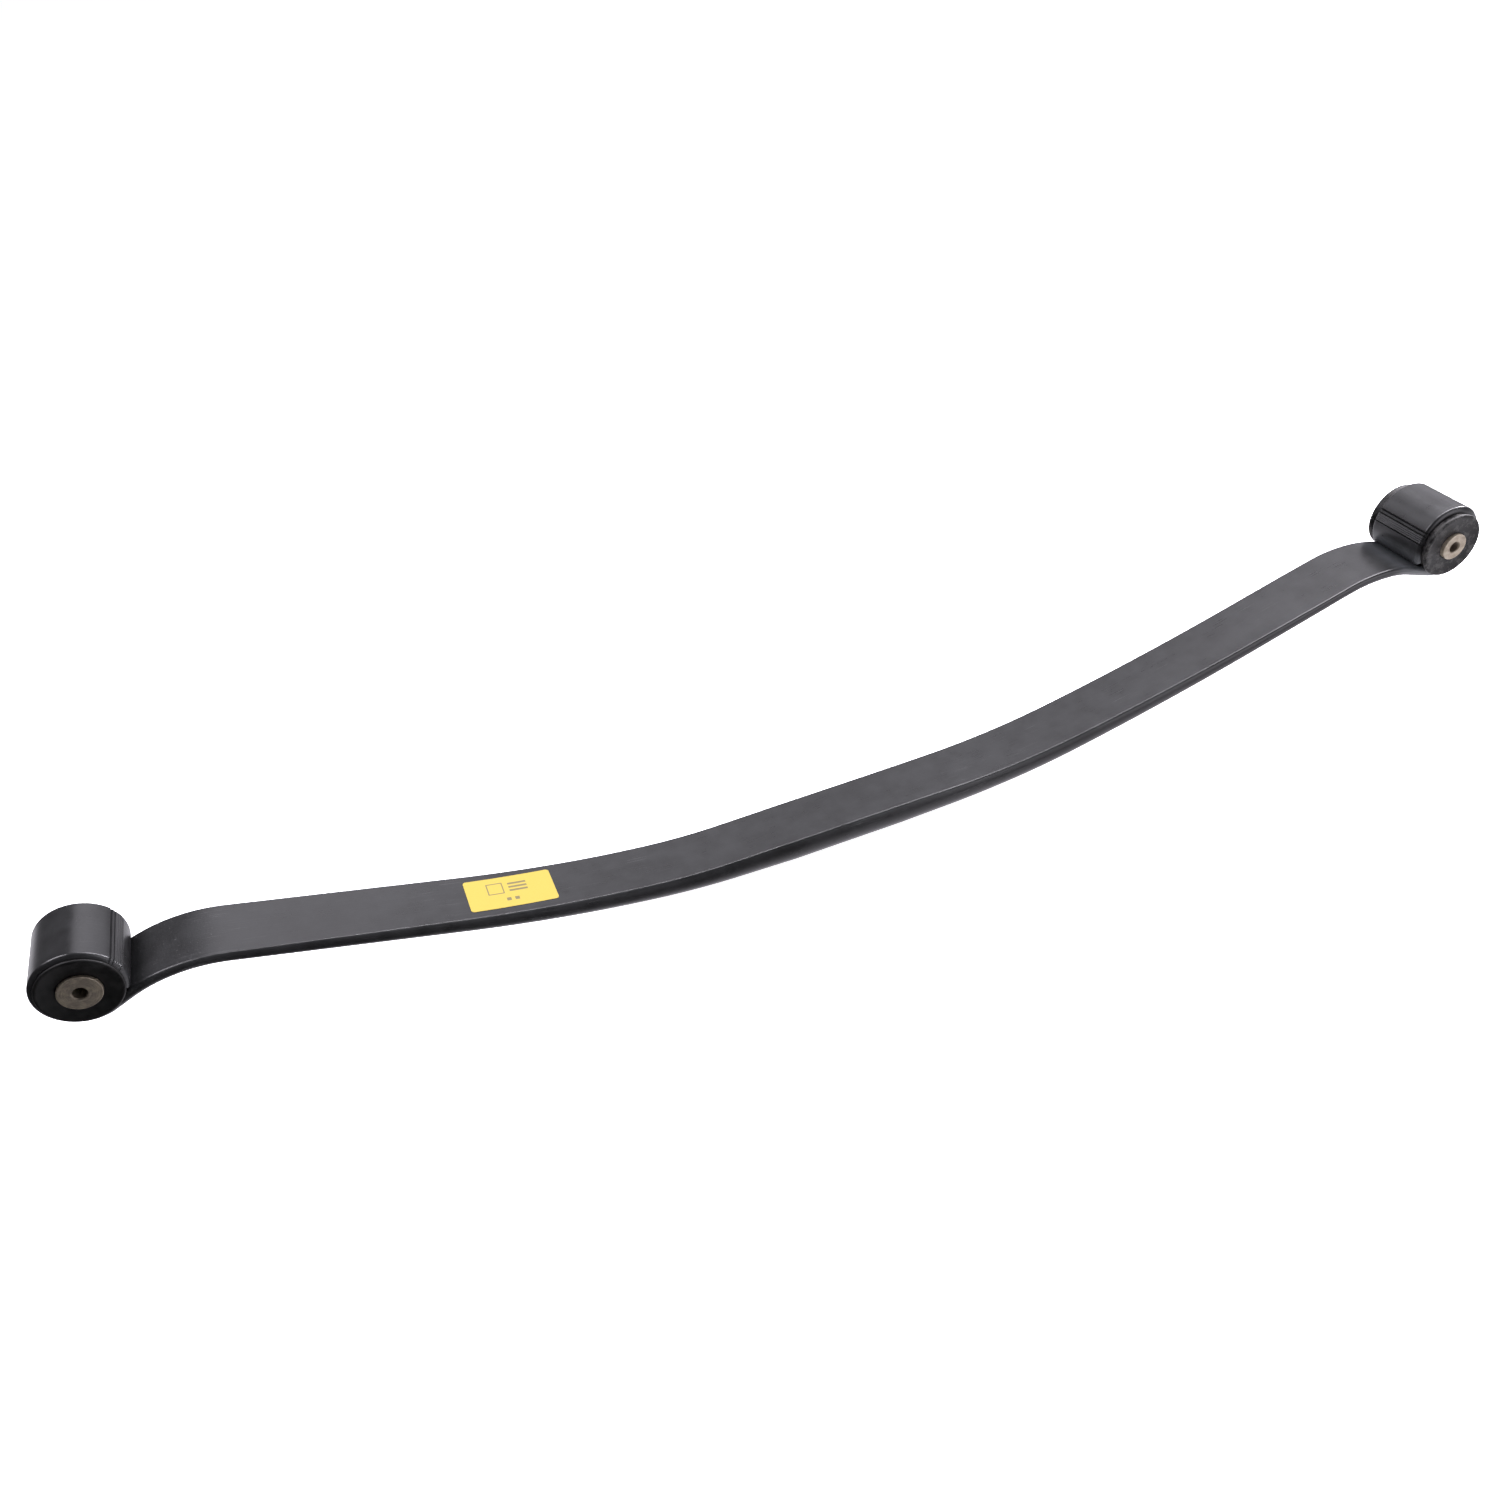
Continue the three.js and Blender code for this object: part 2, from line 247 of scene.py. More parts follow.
# Lamps out of the camera's sight: name, place, the point each faces, size and brightness.
LAMPS = (
    ("window_right", (1.7, -1.6, 0.8), (1.7, 0, 0.8), (2.0, 1.5), 2.2),
    ("ceiling_lamp_left", (-2.0, 0.5, 2.5), (-2.0, 0.5, 0), (2.0, 1.4), 11),
    ("ceiling_lamp_middle", (0.42, 0.84, 2.5), (0.42, 0.84, 0), (0.3, 0.3), 65),
    ("ceiling_lamp_right", (2.05, 0.45, 2.5), (2.05, 0.45, 0), (2.2, 1.3), 17),
    ("far_lamp_right", (3.4, 0.35, 1.7), (0.73, 0, 0.17), (0.8, 1.0), 60),
)

FLOOR_HALF = 12
FLOOR_DROP = 25 * MM  # the eyes of a fully loaded spring hang below its seat
FLOOR_GLOW = 0.85  # lights the floor evenly, so that no shadow shows

# The viewing angle, in degrees, and the camera's place.
CAMERA_AZIMUTH = 16.6187
CAMERA_ELEVATION = 38.6762
CAMERA_ROLL = 7.3596
CAMERA_PLACE = (-0.3591, -0.9214, 0.9024)
LENS = 30.254
SENSOR = 36
FAR_CLIP = 100

# ---- Mesh helpers --------------------------------------------------------------------


def new_object(name, vertices, faces, material, uvs=None):
    """An object from vertices, faces and one (u, v) per face corner."""
    mesh = bpy.data.meshes.new(name)
    mesh.from_pydata(vertices, [], faces)
    if uvs:
        layer = mesh.uv_layers.new(name="surface")
        for loop in mesh.loops:
            layer.data[loop.index].uv = uvs[loop.vertex_index]
    mesh.materials.append(material)
    obj = bpy.data.objects.new(name, mesh)
    bpy.context.scene.collection.objects.link(obj)
    return obj


def smooth_with_creases(obj, limit_degrees):
    """Turns the faces outwards and shades smooth, except at edges sharper than the limit."""
    work = bmesh.new()
    work.from_mesh(obj.data)
    bmesh.ops.recalc_face_normals(work, faces=work.faces)
    limit = math.radians(limit_degrees)
    for face in work.faces:
        face.smooth = True
    for edge in work.edges:
        edge.smooth = len(edge.link_faces) == 2 and edge.calc_face_angle(0) < limit
    work.to_mesh(obj.data)
    work.free()


def ring_faces(rings, points, closed):
    """Quads between rings of points; closed joins the last ring back to the first."""
    faces = []
    for ring in range(rings if closed else rings - 1):
        ahead = (ring + 1) % rings
        for i in range(points):
            j = (i + 1) % points
            faces.append((ring * points + i, ring * points + j, ahead * points + j, ahead * points + i))
    return faces


# ---- The leaf ----------------------------------------------------------------------------


def thickness_at(distance):
    """Thickness of the bar at a distance from the middle, before it swells into the eye."""
    if distance <= SEAT_HALF:
        return SEAT_THICKNESS
    if distance <= SHOULDER_AT:
        share = (distance - SEAT_HALF) / (SHOULDER_AT - SEAT_HALF)
        return SEAT_THICKNESS + (SHOULDER_THICKNESS - SEAT_THICKNESS) * share
    share = min(1, (distance - SHOULDER_AT) / (TAPER_END - SHOULDER_AT))
    return SHOULDER_THICKNESS + (THINNEST - SHOULDER_THICKNESS) * share


def bulge_at(run, distance):
    """How far the edges bow out; the share grows over a stretch of each half."""
    start, end = run["bows_over"]
    share = min(1, max(0, (distance - start) / (end - start)))
    return (SEAT_BULGE + (EDGE_BULGE - SEAT_BULGE) * share) * thickness_at(distance)


def wall_at(wall, angle):
    """Thickness of the roll at an angle round the eye, before its tip is trimmed."""
    share = min(1, max(0, (angle - WALL_THINS_FROM) / (STEP_ANGLE - WALL_THINS_FROM)))
    return wall[0] + (wall[1] - wall[0]) * share


def roll_depth(angle):
    """How far the outside of the roll is cut back at an angle round the eye."""
    if angle < STEP_ANGLE:
        return 0
    if angle < RIDGES_START:
        depth = STEP_DEPTH
    elif angle < RIDGES_END:
        wave = math.sin(math.tau * (angle - RIDGES_START) / RIDGE_PITCH)
        depth = (STEP_DEPTH + LAND_DEPTH) / 2 + RIDGE_DEPTH * wave
    else:
        depth = LAND_DEPTH
    for start, end in GROOVES:
        half = (end - start) / 2
        depth += GROOVE_DEPTH * max(0, 1 - abs(angle - start - half) / half)
    return depth


def run_stations(run):
    """Stations (out, height, heading, distance, thickness) along the upper face, seat to tip."""
    stations = [(0, SEAT_THICKNESS, 0, 0, SEAT_THICKNESS)]

    def advance(length, turn_degrees):
        steps = max(1, round(length / PITCH))
        turn = math.radians(turn_degrees) / steps
        for _ in range(steps):
            out, height, heading, distance, _ = stations[-1]
            middle = heading + turn / 2
            step = length / steps
            distance += step
            stations.append((
                out + step * math.cos(middle),
                height + step * math.sin(middle),
                heading + turn,
                distance,
                thickness_at(distance),
            ))

    advance(run["flat"], 0)
    for radius, angle in run["rises"]:
        advance(radius * math.radians(angle), angle)
    advance(run["straight"], 0)
    climb = sum(angle for _, angle in run["rises"])
    advance(run["hump"] * math.radians(climb + run["dive"]), -(climb + run["dive"]))
    advance(run["tail"], 0)

    out, height, heading, distance, _ = stations[-1]
    for i, station in enumerate(stations):
        share = max(0, 1 - (distance - station[3]) / SWELL_LENGTH)
        stations[i] = (*station[:4], station[4] + (run["wall"][0] - station[4]) * share)
    stations.pop()
    eye = (out - BORE_RADIUS * math.sin(heading), height + BORE_RADIUS * math.cos(heading))
    start = -90 - run["dive"]
    for angle in roll_angles(start, run["tip_angle"]):
        turn = math.radians(angle)
        stations.append((
            eye[0] + BORE_RADIUS * math.cos(turn),
            eye[1] + BORE_RADIUS * math.sin(turn),
            turn + math.pi / 2,
            distance + BORE_RADIUS * math.radians(angle - start),
            wall_at(run["wall"], angle) - roll_depth(angle),
        ))
    return stations, eye


def roll_angles(start, end):
    """Angles round the roll, closer together where the tip is cut and ridged."""
    fine_start = STEP_ANGLE - TIP_MARGIN
    fine_end = RIDGES_END + TIP_MARGIN
    nearly = 0.01  # keeps rounding from adding or losing a step
    angles = []
    angle = start
    while angle < end - nearly:
        angles.append(angle)
        if fine_start < angle + nearly < fine_end:
            angle += TIP_STEP
        elif angle < fine_start:
            angle += min(ROLL_STEP, max(TIP_STEP, fine_start - angle))
        else:
            angle += ROLL_STEP
    return angles + [end]


def bar_section(thickness, bulge):
    """The bar's section as (across, below the upper face), with rounded creases."""
    radius = (bulge * bulge + thickness * thickness / 4) / (2 * bulge)
    middle = HALF_WIDTH - radius
    drop = thickness / 2 - CREASE_RADIUS
    lean = math.asin(drop / (radius - CREASE_RADIUS))
    crease = middle + (radius - CREASE_RADIUS) * math.cos(lean)
    quarter = []
    for i in range(CREASE_STEPS):
        angle = math.pi / 2 + (lean - math.pi / 2) * i / CREASE_STEPS
        quarter.append((
            crease + CREASE_RADIUS * math.cos(angle),
            -CREASE_RADIUS + CREASE_RADIUS * math.sin(angle),
        ))
    side = [(crease - SUPPORT, 0)] + quarter
    for i in range(EDGE_STEPS + 1):
        angle = lean - 2 * lean * i / EDGE_STEPS
        side.append((middle + radius * math.cos(angle), -thickness / 2 + radius * math.sin(angle)))
    upper = [(crease - SUPPORT, 0)] + quarter
    side += [(across, -thickness - below) for across, below in reversed(upper)]
    return side + [(-across, below) for across, below in reversed(side)]


def bend_with_leaf(obj):
    """Bakes a piece's placement into its mesh."""
    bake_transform(obj)


def leaf_half(run, material):
    """One continuous half of the leaf, from the middle of the seat round its eye to the tip."""
    stations, eye = run_stations(run)
    vertices = []
    uvs = []
    for out, height, heading, distance, thickness in stations:
        section = bar_section(thickness, bulge_at(run, distance))
        girth = 0
        previous = section[0]
        for across, below in section:
            girth += math.hypot(across - previous[0], below - previous[1])
            previous = (across, below)
            vertices.append((
                run["side"] * (out - below * math.sin(heading)),
                across,
                height + below * math.cos(heading),
            ))
            uvs.append((run["side"] * distance, girth))
    points = len(section)
    faces = ring_faces(len(stations), points, closed=False)
    last = (len(stations) - 1) * points
    faces.append(tuple(range(points)))
    faces.append(tuple(range(last, last + points)))
    obj = new_object(f"{run['name']}_leaf_half", vertices, faces, material, uvs)
    smooth_with_creases(obj, LEAF_CREASE)
    bend_with_leaf(obj)
    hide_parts(f"{run['name']}_leaf_arm", "leaf_centre")
    return stations, eye


# ---- Bushes ------------------------------------------------------------------------------


def arc(centre, radius, start, end, steps):
    """Points (radius from the axis, along it) on an arc, angles in degrees from outwards."""
    points = []
    for i in range(steps + 1):
        angle = math.radians(start + (end - start) * i / steps)
        points.append((centre[0] + radius * math.cos(angle), centre[1] + radius * math.sin(angle)))
    return points


def turned(name, profile, centre, side, material, crease_degrees):
    """A closed profile of (radius, along) turned about an axis along Y."""
    vertices = []
    uvs = []
    for segment in range(TURN_SEGMENTS):
        angle = math.tau * segment / TURN_SEGMENTS
        travelled = 0
        previous = profile[0]
        for radius, along in profile:
            travelled += math.hypot(radius - previous[0], along - previous[1])
            previous = (radius, along)
            vertices.append((
                centre[0] + radius * math.cos(angle),
                side * along,
                centre[1] + radius * math.sin(angle),
            ))
            uvs.append((math.tau * segment / TURN_SEGMENTS, travelled))
    faces = ring_faces(TURN_SEGMENTS, len(profile), closed=True)
    obj = new_object(name, vertices, faces, material, uvs)
    smooth_with_creases(obj, crease_degrees)
    return obj


def rubber_half(run, centre, side, material):
    """Half a bush: a plug in the eye, a shallow dish round the sleeve and a lipped flange."""
    bulge = EDGE_BULGE * THINNEST
    edge_radius = (bulge * bulge + THINNEST * THINNEST / 4) / (2 * bulge)
    edge = (BORE_RADIUS + THINNEST / 2, HALF_WIDTH - edge_radius)
    lap = edge_radius + FIT_GAP
    face = run["flange_face"]
    rim = min(RIM_ROUND, (face - HALF_WIDTH) * RIM_ROUND_SHARE)
    inner = run["sleeve_radius"] + FIT_GAP
    profile = [(inner, PLUG_GAP), (BORE_RADIUS - FIT_GAP, PLUG_GAP)]
    for angle in LAP_ANGLES:
        lean = math.radians(angle)
        profile.append((edge[0] + lap * math.sin(lean), edge[1] + lap * math.cos(lean)))
    profile += arc((run["flange_radius"] - rim, face - rim), rim, RIM_START, 90, RIM_STEPS)
    lip = run["flange_radius"] - rim - LIP_WIDTH
    profile.append((lip, face))
    profile.append((lip - LIP_SLOPE, face - DISH_DEPTH))
    profile.append((inner + TROUGH_RIM, face - DISH_DEPTH))
    profile.append((inner + TROUGH_FLOOR, face - TROUGH_DEPTH))
    profile.append((inner + BORE_CHAMFER, face - TROUGH_DEPTH))
    profile.append((inner, face - TROUGH_DEPTH - BORE_CHAMFER))
    side_name = "left" if side < 0 else "right"
    name = f"{run['name']}_rubber_{side_name}"
    obj = turned(name, profile, centre, side, material, RUBBER_CREASE)
    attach(obj, f"{run['name']}_arm")
    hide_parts(f"{run['name']}_eye_rubber_{side_name}")


def sleeve(run, centre, material):
    """The steel tube in a bush, with turned ends and a bolt bore."""
    radius = run["sleeve_radius"]
    half = run["sleeve_half"]
    face_start = BOLT_RADIUS + BOLT_CHAMFER
    face_end = radius - SLEEVE_ROUND
    end = [(BOLT_RADIUS, half - CHAMFER_SUPPORT), (BOLT_RADIUS, half - BOLT_CHAMFER), (face_start, half)]
    for ring in range(1, FACE_RINGS):
        at = face_start + (face_end - face_start) * ring / FACE_RINGS
        end += [(at - RING_HALF, half), (at, half - RING_DEPTH), (at + RING_HALF, half)]
    end += arc((face_end, half - SLEEVE_ROUND), SLEEVE_ROUND, 90, 0, ROUND_STEPS)
    end.append((radius, half - ROUND_SUPPORT))
    profile = end + [(at, -along) for at, along in reversed(end)]
    obj = turned(f"{run['name']}_sleeve_turned", profile, centre, 1, material, SLEEVE_CREASE)
    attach(obj, f"{run['name']}_sleeve")
    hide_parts(f"{run['name']}_eye_sleeve")


# ---- Label ---------------------------------------------------------------------------------


def point_along(stations, distance):
    """The station at a distance from the middle, between its two nearest."""
    for a, b in zip(stations, stations[1:]):
        if b[3] >= distance:
            share = (distance - a[3]) / (b[3] - a[3])
            return [p + (q - p) * share for p, q in zip(a, b)]
    raise ValueError("past the end of the leaf")


def label(stations, material):
    """A film with rounded corners that follows the upper face of the front half."""
    columns = LABEL_COLUMNS
    rows = LABEL_ROWS
    vertices = []
    uvs = []
    for layer in (LABEL_LIFT, LABEL_LIFT + LABEL_THICKNESS):
        for column in range(columns + 1):
            share = (1 - math.cos(math.pi * column / columns)) / 2  # closer at both ends
            along = LABEL_LENGTH * (share - 0.5)
            past = max(0, abs(along) - (LABEL_LENGTH / 2 - LABEL_CORNER))
            notch = LABEL_CORNER - math.sqrt(max(0, LABEL_CORNER**2 - past**2))
            for row in range(rows + 1):
                across = (LABEL_WIDTH / 2 - notch) * (2 * row / rows - 1)
                distance = LABEL_MIDDLE + along * math.cos(LABEL_TURN) - across * math.sin(LABEL_TURN)
                out, height, heading, _, _ = point_along(stations, distance)
                vertices.append((
                    -(out - layer * math.sin(heading)),
                    LABEL_OFFSET + along * math.sin(LABEL_TURN) + across * math.cos(LABEL_TURN),
                    height + layer * math.cos(heading),
                ))
                uvs.append((-along, across))
    faces = []
    layer_size = (columns + 1) * (rows + 1)
    for layer in range(2):
        for column in range(columns):
            for row in range(rows):
                a = layer * layer_size + column * (rows + 1) + row
                faces.append((a, a + 1, a + rows + 2, a + rows + 1))
    rim = [column * (rows + 1) for column in range(columns + 1)]
    rim += [columns * (rows + 1) + row for row in range(1, rows + 1)]
    rim += [column * (rows + 1) + rows for column in range(columns - 1, -1, -1)]
    rim += [row for row in range(rows - 1, 0, -1)]
    for a, b in zip(rim, rim[1:] + rim[:1]):
        faces.append((a, b, b + layer_size, a + layer_size))
    obj = new_object("label_film", vertices, faces, material, uvs)
    smooth_with_creases(obj, LABEL_CREASE)
    bend_with_leaf(obj)
    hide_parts("label")


# ---- Shader helpers ----------------------------------------------------------------------------


def new_material(name, roughness, metallic=0.0, specular=0.5):
    material = bpy.data.materials.new(name)
    material.use_nodes = True
    shader = material.node_tree.nodes["Principled BSDF"]
    shader.inputs["Roughness"].default_value = roughness
    shader.inputs["Metallic"].default_value = metallic
    shader.inputs["Specular IOR Level"].default_value = specular
    return material, material.node_tree, shader


def add(tree, kind, inputs=None, **settings):
    """A node with its settings, and its inputs set to values or linked to sockets."""
    node = tree.nodes.new(kind)
    for key, value in settings.items():
        setattr(node, key, value)
    for key, value in (inputs or {}).items():
        if isinstance(value, bpy.types.NodeSocket):
            tree.links.new(value, node.inputs[key])
        else:
            node.inputs[key].default_value = value
    return node


def calc(tree, operation, a, b=0.0, clamp=False):
    node = add(tree, "ShaderNodeMath", {0: a, 1: b}, operation=operation, use_clamp=clamp)
    return node.outputs[0]


def spread(tree, value, low, high, to_low=0.0, to_high=1.0):
    """Maps low..high to to_low..to_high, held at both ends."""
    node = add(
        tree,
        "ShaderNodeMapRange",
        {"Value": value, "From Min": low, "From Max": high, "To Min": to_low, "To Max": to_high},
        interpolation_type="SMOOTHSTEP",
    )
    return node.outputs["Result"]


def blend_colour(tree, share, a, b):
    node = add(tree, "ShaderNodeMix", data_type="RGBA")
    for socket, value in ((node.inputs[0], share), (node.inputs[6], a), (node.inputs[7], b)):
        if isinstance(value, bpy.types.NodeSocket):
            tree.links.new(value, socket)
        else:
            socket.default_value = value
    return node.outputs[2]


def object_place(tree):
    return add(tree, "ShaderNodeTexCoord").outputs["Object"]


def surface_place(tree):
    return add(tree, "ShaderNodeUVMap", uv_map="surface").outputs["UV"]


def noise(tree, place, scale, detail=3.0, roughness=0.5, stretch=(1, 1, 1)):
    moved = add(tree, "ShaderNodeMapping", {"Vector": place, "Scale": stretch})
    node = add(
        tree,
        "ShaderNodeTexNoise",
        {"Vector": moved.outputs[0], "Scale": scale, "Detail": detail, "Roughness": roughness},
    )
    return node.outputs["Fac"]


def bump(tree, shader, height, distance, strength=1.0, before=None):
    inputs = {"Height": height, "Distance": distance, "Strength": strength}
    if before is not None:
        inputs["Normal"] = before
    normal = add(tree, "ShaderNodeBump", inputs).outputs["Normal"]
    tree.links.new(normal, shader.inputs["Normal"])
    return normal


def grey(level, warmth=0.0):
    return (level * (1 + warmth), level, level * (1 - warmth), 1)


# ---- Materials ---------------------------------------------------------------------------------


def leaf_paint():
    """Satin black dip paint over hot-rolled steel: mottled, streaked and chipped, with dustiness and
    painted light in the rear eye's folds.
    """
    material, tree, shader = new_material("leaf_paint", 0.27)
    place = object_place(tree)
    surface = surface_place(tree)
    along = add(tree, "ShaderNodeSeparateXYZ", {"Vector": surface}).outputs[0]

    def stretch_of_leaf(middle, half_length):
        """1 in the middle of a stretch of the leaf, 0 from its ends on."""
        off = calc(tree, "ABSOLUTE", calc(tree, "SUBTRACT", along, middle))
        return spread(tree, off, half_length * 0.5, half_length, 1, 0)

    mottle = noise(tree, place, scale=45, detail=5, roughness=0.6)
    cloud = noise(tree, place, scale=9, detail=3, roughness=0.5)
    streaks = noise(tree, surface, scale=420, detail=3, roughness=0.6, stretch=(0.02, 1, 1))
    grain = noise(tree, place, scale=520, detail=4, roughness=0.65)
    shade = calc(tree, "ADD", calc(tree, "MULTIPLY", mottle, 0.6), calc(tree, "MULTIPLY", cloud, 0.4))
    patches = spread(tree, shade, 0.35, 0.65)
    colour = blend_colour(tree, patches, grey(*PAINT_DARK), grey(*PAINT_LIGHT))

    # The rear eye's lower fold and tip land are made lighter: dustiness, together with painted light
    # that lifts these shaded spots.
    fold = stretch_of_leaf(REAR_FOLD, FOLD_HALF)
    folds = calc(tree, "MAXIMUM", fold, stretch_of_leaf(REAR_TIP, TIP_HALF))
    dust_and_painted_light = calc(tree, "MULTIPLY", folds, spread(tree, mottle, 0.3, 0.6, 0.6, 1.0))
    colour = blend_colour(tree, dust_and_painted_light, colour, grey(*FOLD_DUST_AND_LIGHT))

    rough_zone = stretch_of_leaf(FRONT_ROUGH, ROUGH_HALF)
    flecked = calc(tree, "ADD", rough_zone, FLECKS_ELSEWHERE)
    flecks = calc(tree, "MULTIPLY", spread(tree, grain, 0.64, 0.74), flecked)
    colour = blend_colour(tree, calc(tree, "MULTIPLY", flecks, 0.7, clamp=True), colour, grey(*FLECK))

    scratches = noise(tree, surface, scale=900, detail=4, roughness=0.7, stretch=(0.012, 1, 1))
    scuffs = calc(tree, "MULTIPLY", spread(tree, scratches, 0.62, 0.7), spread(tree, cloud, 0.5, 0.6))
    colour = blend_colour(tree, calc(tree, "MULTIPLY", scuffs, 0.6), colour, grey(*SCUFF))
    tree.links.new(colour, shader.inputs["Base Color"])

    rough = spread(tree, mottle, 0.3, 0.7, *PAINT_ROUGHNESS)
    rough = calc(tree, "ADD", rough, calc(tree, "MULTIPLY", streaks, 0.12))
    rough_grain = calc(tree, "MULTIPLY", rough_zone, calc(tree, "MULTIPLY", grain, 0.12))
    tree.links.new(calc(tree, "ADD", rough, rough_grain), shader.inputs["Roughness"])

    waviness = bump(tree, shader, streaks, 0.05 * MM)
    pitted = bump(tree, shader, calc(tree, "MULTIPLY", grain, rough_zone), 0.12 * MM, before=waviness)
    orange_peel = noise(tree, place, scale=700, detail=2, roughness=0.5)
    bump(tree, shader, orange_peel, 0.02 * MM, before=pitted)
    return material


def sleeve_steel(name, light, dark):
    """Bare turned steel, dulled by a thin film of oxide."""
    material, tree, shader = new_material(name, 0.42, metallic=0.55)
    place = object_place(tree)
    surface = surface_place(tree)
    blotches = noise(tree, place, scale=160, detail=4, roughness=0.6)
    colour = blend_colour(tree, spread(tree, blotches, 0.35, 0.68), dark, light)
    tree.links.new(colour, shader.inputs["Base Color"])
    rings = noise(tree, surface, scale=3000, detail=2, roughness=0.5, stretch=(0, 1, 0))
    tree.links.new(spread(tree, blotches, 0.3, 0.7, 0.5, 0.36), shader.inputs["Roughness"])
    bump(tree, shader, rings, 0.012 * MM)
    return material


def bush_rubber(name, clean, dusty_and_lit, dust_and_light_from, dust_and_light_to):
    """Moulded black rubber with handling dustiness; on the rear bush its lighter grey is also painted
    light.
    """
    material, tree, shader = new_material(name, 0.5, specular=0.28)
    place = object_place(tree)
    dust_and_painted_light = noise(tree, place, scale=110, detail=6, roughness=0.7)
    fine = noise(tree, place, scale=900, detail=3, roughness=0.6)
    both = calc(tree, "ADD", calc(tree, "MULTIPLY", dust_and_painted_light, 0.75), calc(tree, "MULTIPLY", fine, 0.25))
    colour = blend_colour(tree, spread(tree, both, dust_and_light_from, dust_and_light_to), clean, dusty_and_lit)
    tree.links.new(colour, shader.inputs["Base Color"])
    tree.links.new(spread(tree, dust_and_painted_light, 0.3, 0.7, 0.36, 0.6), shader.inputs["Roughness"])
    bump(tree, shader, fine, 0.03 * MM)
    return material


def label_film():
    """Yellow film with plain printed marks: a square outline, bars and dots."""
    material, tree, shader = new_material("label_film", 0.5)
    place = surface_place(tree)
    split = add(tree, "ShaderNodeSeparateXYZ", {"Vector": place})
    def within(value, middle, half):
        """1 within half of the middle, 0 past it."""
        off = calc(tree, "ABSOLUTE", calc(tree, "SUBTRACT", value, middle * MM))
        return spread(tree, off, half * MM - PRINT_SOFTNESS, half * MM + PRINT_SOFTNESS, 1, 0)

    def rectangle(middle_x, middle_y, half_x, half_y):
        """1 inside a rectangle of the label, 0 outside."""
        inside_x = within(split.outputs[0], middle_x, half_x)
        inside_y = within(split.outputs[1], middle_y, half_y)
        return calc(tree, "MULTIPLY", inside_x, inside_y)

    hollow = SQUARE_HALF - SQUARE_LINE
    square = rectangle(*SQUARE_AT, SQUARE_HALF, SQUARE_HALF)
    ink = calc(tree, "SUBTRACT", square, rectangle(*SQUARE_AT, hollow, hollow), clamp=True)
    for bar in range(BARS):
        ink = calc(tree, "MAXIMUM", ink, rectangle(BAR_AT[0], BAR_AT[1] + BAR_PITCH * bar, *BAR_HALF))
    for dot_x in DOTS_X:
        ink = calc(tree, "MAXIMUM", ink, rectangle(dot_x, DOTS_Y, DOT_HALF, DOT_HALF))
    fibre = noise(tree, place, scale=500, detail=3, roughness=0.6)
    film = blend_colour(tree, fibre, *FILM)
    worn = calc(tree, "MULTIPLY", ink, spread(tree, fibre, 0.2, 0.5, 0.75, 0.9))
    colour = blend_colour(tree, worn, film, INK)
    tree.links.new(colour, shader.inputs["Base Color"])
    bump(tree, shader, fibre, 0.02 * MM)
    return material


def studio_floor():
    material, _, shader = new_material("studio_floor", 0.9, specular=0.1)
    shader.inputs["Base Color"].default_value = grey(0.9)
    shader.inputs["Emission Color"].default_value = grey(1.0)
    shader.inputs["Emission Strength"].default_value = FLOOR_GLOW
    return material


# ---- Camera, light and floor -------------------------------------------------------------------


def camera():
    """A camera that looks along +Y turned by the azimuth, tipped down and rolled."""
    azimuth = math.radians(CAMERA_AZIMUTH)
    elevation = math.radians(CAMERA_ELEVATION)
    roll = math.radians(CAMERA_ROLL)
    forward = Vector((
        math.sin(azimuth) * math.cos(elevation),
        math.cos(azimuth) * math.cos(elevation),
        -math.sin(elevation),
    ))
    right = Vector((math.cos(azimuth), -math.sin(azimuth), 0))
    down = forward.cross(right)
    image_right = right * math.cos(roll) + down * math.sin(roll)
    image_down = down * math.cos(roll) - right * math.sin(roll)
    data = bpy.data.cameras.new("camera")
    data.sensor_width = SENSOR
    data.lens = LENS
    data.clip_end = FAR_CLIP
    obj = bpy.data.objects.new("camera", data)
    axes = Matrix((image_right, -image_down, -forward)).transposed().to_4x4()
    obj.matrix_world = Matrix.Translation(CAMERA_PLACE) @ axes
    bpy.context.scene.collection.objects.link(obj)
    bpy.context.scene.camera = obj


def soft_box(name, place, aim, size, brightness):
    """A rectangular lamp, brightness being the radiance it shows in a mirror."""
    data = bpy.data.lights.new(name, "AREA")
    data.shape = "RECTANGLE"
    data.size, data.size_y = size
    data.energy = brightness * math.pi * size[0] * size[1]
    data.color = COOL[:3]
    obj = bpy.data.objects.new(name, data)
    obj.location = place
    obj.rotation_euler = (Vector(aim) - Vector(place)).to_track_quat("-Z", "Y").to_euler()
    obj.visible_camera = False
    bpy.context.scene.collection.objects.link(obj)


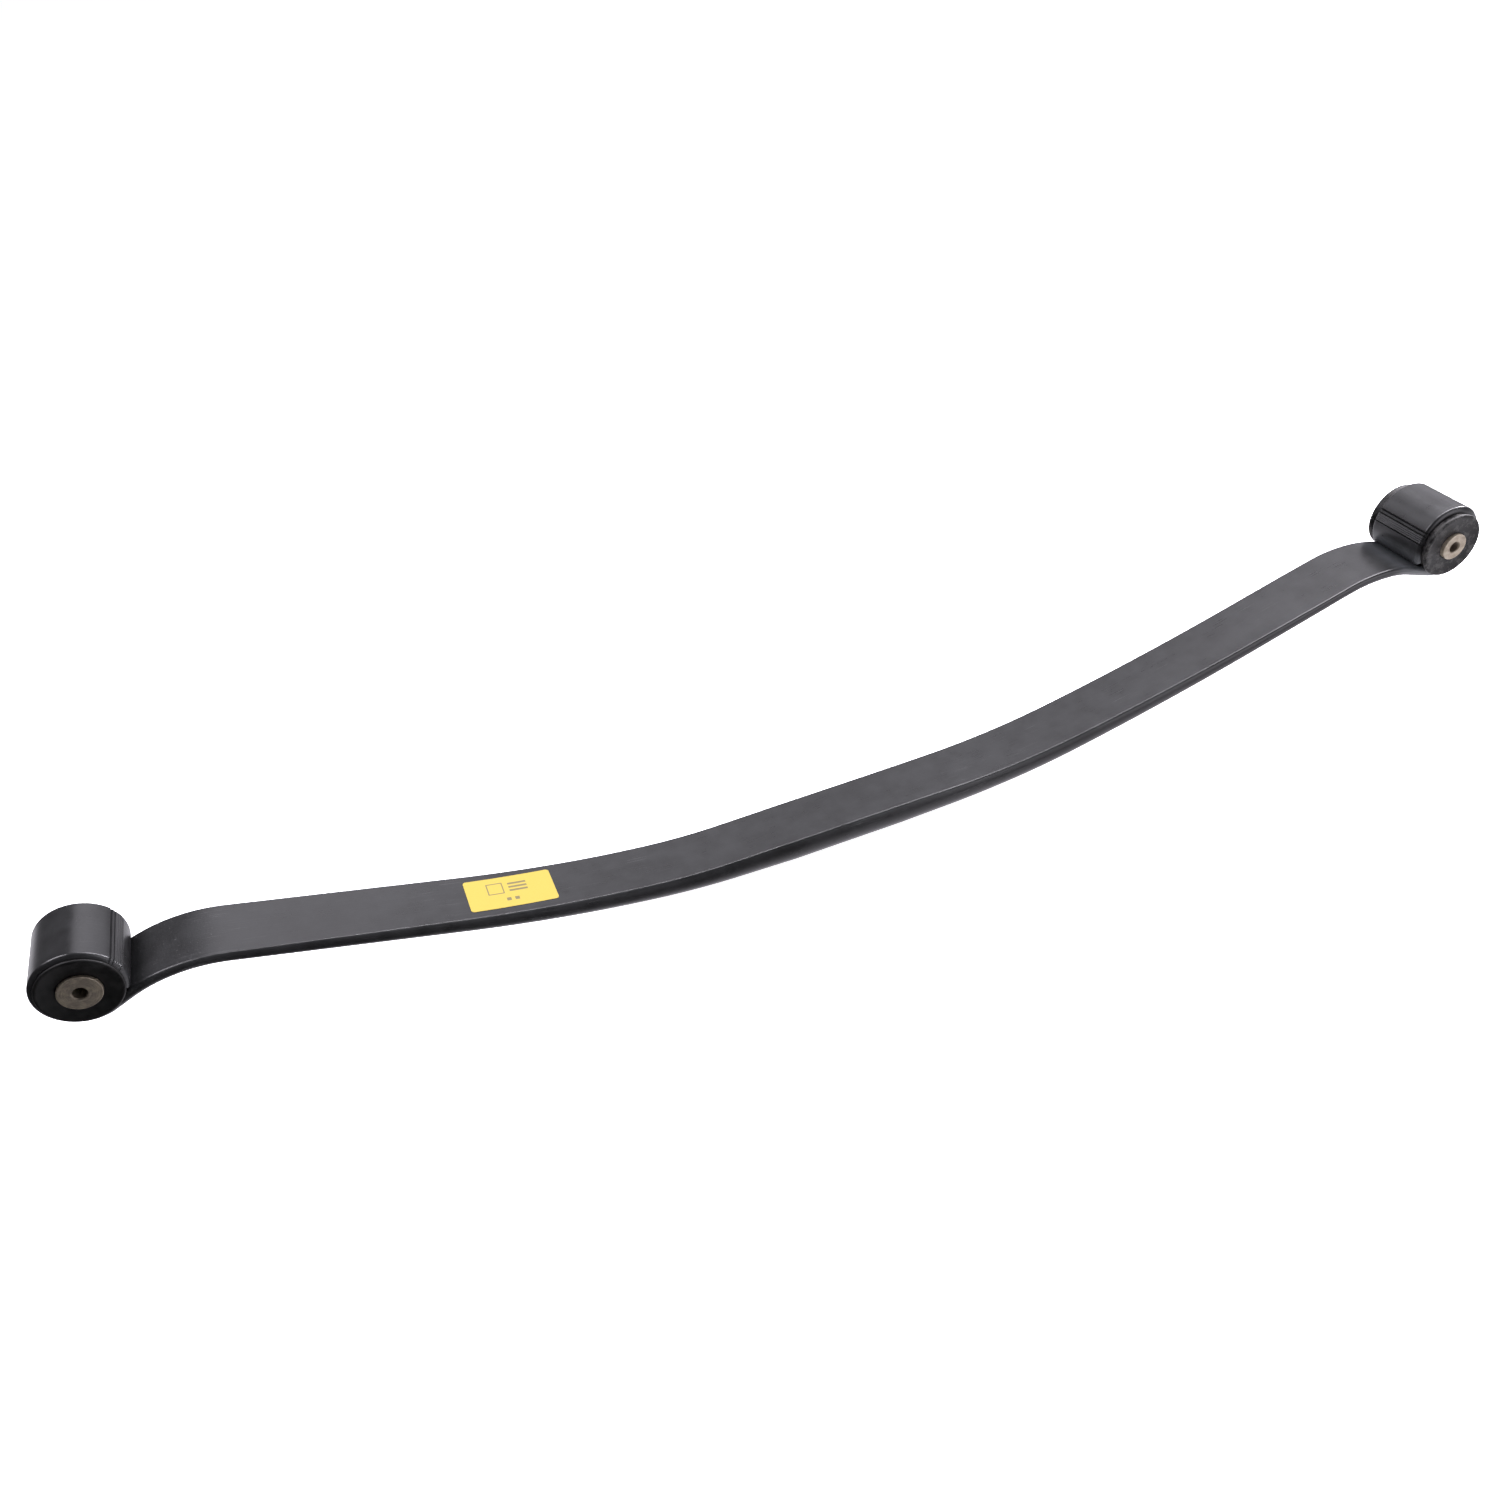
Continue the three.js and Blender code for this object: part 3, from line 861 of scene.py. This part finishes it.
def surroundings():
    """A white room for the camera. Gloss sees a dim room over a ground that is darker in front."""
    world = bpy.data.worlds.new("studio")
    world.use_nodes = True
    tree = world.node_tree
    direction = add(tree, "ShaderNodeTexCoord").outputs["Generated"]
    split = add(tree, "ShaderNodeSeparateXYZ", {"Vector": direction})
    x, y, z = split.outputs
    room = spread(tree, y, -0.3, 0.3, ROOM_BEFORE, ROOM)
    away = calc(tree, "ADD", y, calc(tree, "MULTIPLY", x, GROUND_SLANT))
    ground = spread(tree, away, -0.75, -0.35, GROUND_DARK, GROUND_BRIGHT)
    above = spread(tree, z, -0.22, -0.08)
    below = calc(tree, "SUBTRACT", 1.0, above)
    seen_above = calc(tree, "MULTIPLY", above, room)
    seen = calc(tree, "ADD", seen_above, calc(tree, "MULTIPLY", ground, below))
    path = add(tree, "ShaderNodeLightPath")
    level = add(tree, "ShaderNodeMix", data_type="FLOAT")
    tree.links.new(path.outputs["Is Camera Ray"], level.inputs[0])
    tree.links.new(seen, level.inputs[2])
    level.inputs[3].default_value = 1.0
    tree.links.new(level.outputs[0], tree.nodes["Background"].inputs["Strength"])
    tree.nodes["Background"].inputs["Color"].default_value = COOL
    bpy.context.scene.world = world


def studio():
    """Everything round the spring: the room, the lamps and the floor."""
    bpy.context.scene.view_settings.view_transform = "Standard"
    surroundings()
    pane_height = WINDOW_SILL + WINDOW_HEIGHT / 2
    for number, (left, right, brightness) in enumerate(WINDOW_PANES):
        middle = (left + right) / 2
        place = (middle, WINDOW_AT, pane_height)
        size = (right - left, WINDOW_HEIGHT)
        soft_box(f"window_pane_{number + 1}", place, (middle, 0, pane_height), size, brightness)
    for lamp in LAMPS:
        soft_box(*lamp)
    corners = [(-1, -1), (1, -1), (1, 1), (-1, 1)]
    floor = new_object(
        "studio_floor",
        [(x * FLOOR_HALF, y * FLOOR_HALF, 0) for x, y in corners],
        [(0, 1, 2, 3)],
        studio_floor(),
    )
    floor.location.z = -FLOOR_DROP
    floor.visible_glossy = False


# ---- Assembly --------------------------------------------------------------------------------------

paint = leaf_paint()
rubbers = {}
for end, (clean, dusty_and_lit, dust_and_light_from, dust_and_light_to) in RUBBERS.items():
    rubbers[end] = bush_rubber(f"bush_rubber_{end}", grey(*clean), grey(*dusty_and_lit), dust_and_light_from, dust_and_light_to)
steels = {}
for end, (light, dark) in STEELS.items():
    steels[end] = sleeve_steel(f"sleeve_steel_{end}", light, dark)
for run in (FRONT, REAR):
    stations, eye = leaf_half(run, paint)
    centre = (run["side"] * eye[0], eye[1])
    sleeve(run, centre, steels[run["name"]])
    for side in (-1, 1):
        rubber_half(run, centre, side, rubbers[run["name"]])
    if run is FRONT:
        label(stations, label_film())

studio()
camera()
